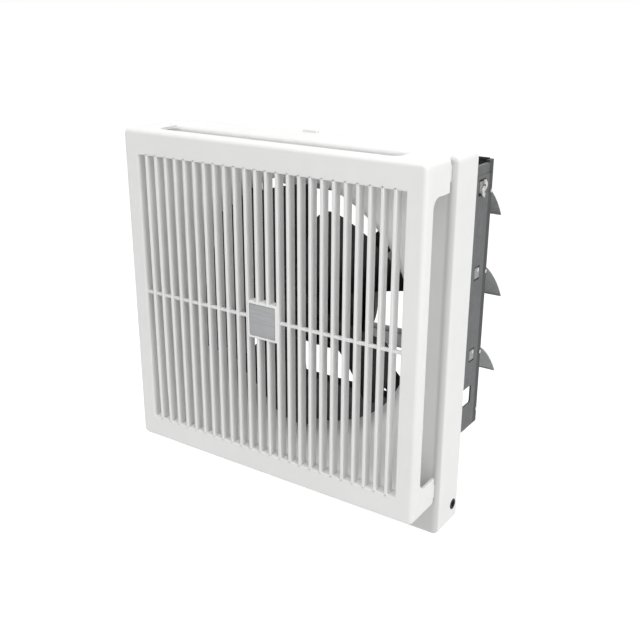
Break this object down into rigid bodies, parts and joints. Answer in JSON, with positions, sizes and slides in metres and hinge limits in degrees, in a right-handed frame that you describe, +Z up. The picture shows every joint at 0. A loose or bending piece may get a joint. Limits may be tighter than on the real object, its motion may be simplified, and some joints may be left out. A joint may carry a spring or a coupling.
{
  "type": "wall ventilating fan",
  "caption": "Square ventilating fan for a wall opening: pull-off slatted grille, bell-mouth frame, wide-bladed propeller, and a sheet-metal duct with linked shutter blades.",
  "frame": {"origin": "on the fan's axis in the wall plane, the body frame's rear face and the centre of its four mounting holes", "axes": "-Y out of the front into the room, +Y through the wall to outdoors, +X to the right as seen from the front, +Z up"},
  "size_m": [0.3555, 0.2544, 0.3825],
  "materials": {
    "white_plastic": "satin white",
    "grille_plastic": "satin white",
    "emblem_plate": "plain light grey",
    "duct_sheet": "dark zinc coating",
    "shutter_sheet": "dark zinc coating",
    "bright_steel": "plated",
    "bush_plastic": "light grey",
    "propeller_plastic": "black",
    "motor_paint": "black satin",
    "core_steel": "bare laminations",
    "copper_winding": "enamelled wire",
    "black_plastic": "black",
    "grey_plastic": "light grey",
    "black_rubber": "matt",
    "brass_screw": "plain"
  },
  "bodies": {
    "housing": {"body_frame": "white_plastic", "bell_mouth": "white_plastic", "shutter_duct": "duct_sheet", "duct_side_plates": "duct_sheet", "side_plate_rivets": "bright_steel", "pivot_bushes": "bush_plastic", "motor_front_shell": "motor_paint", "motor_rear_shell": "motor_paint", "motor_bearings": "bright_steel", "stator_core": "core_steel", "stator_windings": "copper_winding", "motor_bracket": "motor_paint", "motor_screws": "bright_steel", "bracket_screws": "bright_steel", "duct_screws": "bright_steel", "cord_grommet": "black_rubber", "terminal_cover": "grey_plastic", "terminal_block": "black_plastic", "terminal_screws": "brass_screw", "cord_clamp": "grey_plastic", "clamp_screws": "bright_steel", "capacitor": "grey_plastic", "capacitor_strap": "bright_steel", "strip_screws": "bright_steel"},
    "rotor": {"propeller": "propeller_plastic", "motor_shaft": "bright_steel", "rotor_core": "core_steel", "propeller_washer": "bright_steel", "propeller_nut": "black_plastic"},
    "grille": {"front_grille": "grille_plastic", "emblem_plate": "emblem_plate"},
    "shutter_middle": {"shutter_blade_middle": "shutter_sheet", "shutter_pins_middle": "bright_steel"},
    "shutter_top": {"shutter_blade_top": "shutter_sheet", "shutter_pins_top": "bright_steel", "shutter_lever": "bush_plastic"},
    "shutter_lower": {"shutter_blade_lower": "shutter_sheet", "shutter_pins_lower": "bright_steel"},
    "link": {"link_rod": "bright_steel"}
  },
  "joints": [
    {"name": "propeller_spin", "type": "hinge", "parent": "housing", "child": "rotor", "pos_m": [0, -0.0325, 0], "axis": [0, 1, 0], "continuous": true},
    {"name": "shutter_middle_pivot", "type": "hinge", "parent": "housing", "child": "shutter_middle", "pos_m": [0, 0.0865, 0.0365], "axis": [1, 0, 0], "range_deg": [-50, 20]},
    {"name": "shutter_top_pivot", "type": "hinge", "parent": "housing", "child": "shutter_top", "pos_m": [0, 0.0855, 0.1225], "axis": [1, 0, 0], "range_deg": [-50, 20]},
    {"name": "shutter_lower_pivot", "type": "hinge", "parent": "housing", "child": "shutter_lower", "pos_m": [0, 0.087, -0.0555], "axis": [1, 0, 0], "range_deg": [-50, 20]},
    {"name": "link_pivot", "type": "hinge", "parent": "shutter_middle", "child": "link", "pos_m": [-0.1246, 0.0725, 0.0265], "axis": [1, 0, 0], "range_deg": [-20, 50]},
    {"name": "grille_pull_off", "type": "slide", "parent": "housing", "child": "grille", "axis": [0, -1, 0], "range_m": [0, 0.04]}
  ],
  "couplings": [
    {"joint": "shutter_top_pivot", "follows": "shutter_middle_pivot", "ratio": 1},
    {"joint": "shutter_lower_pivot", "follows": "shutter_middle_pivot", "ratio": 1},
    {"joint": "link_pivot", "follows": "shutter_middle_pivot", "ratio": -1}
  ]
}
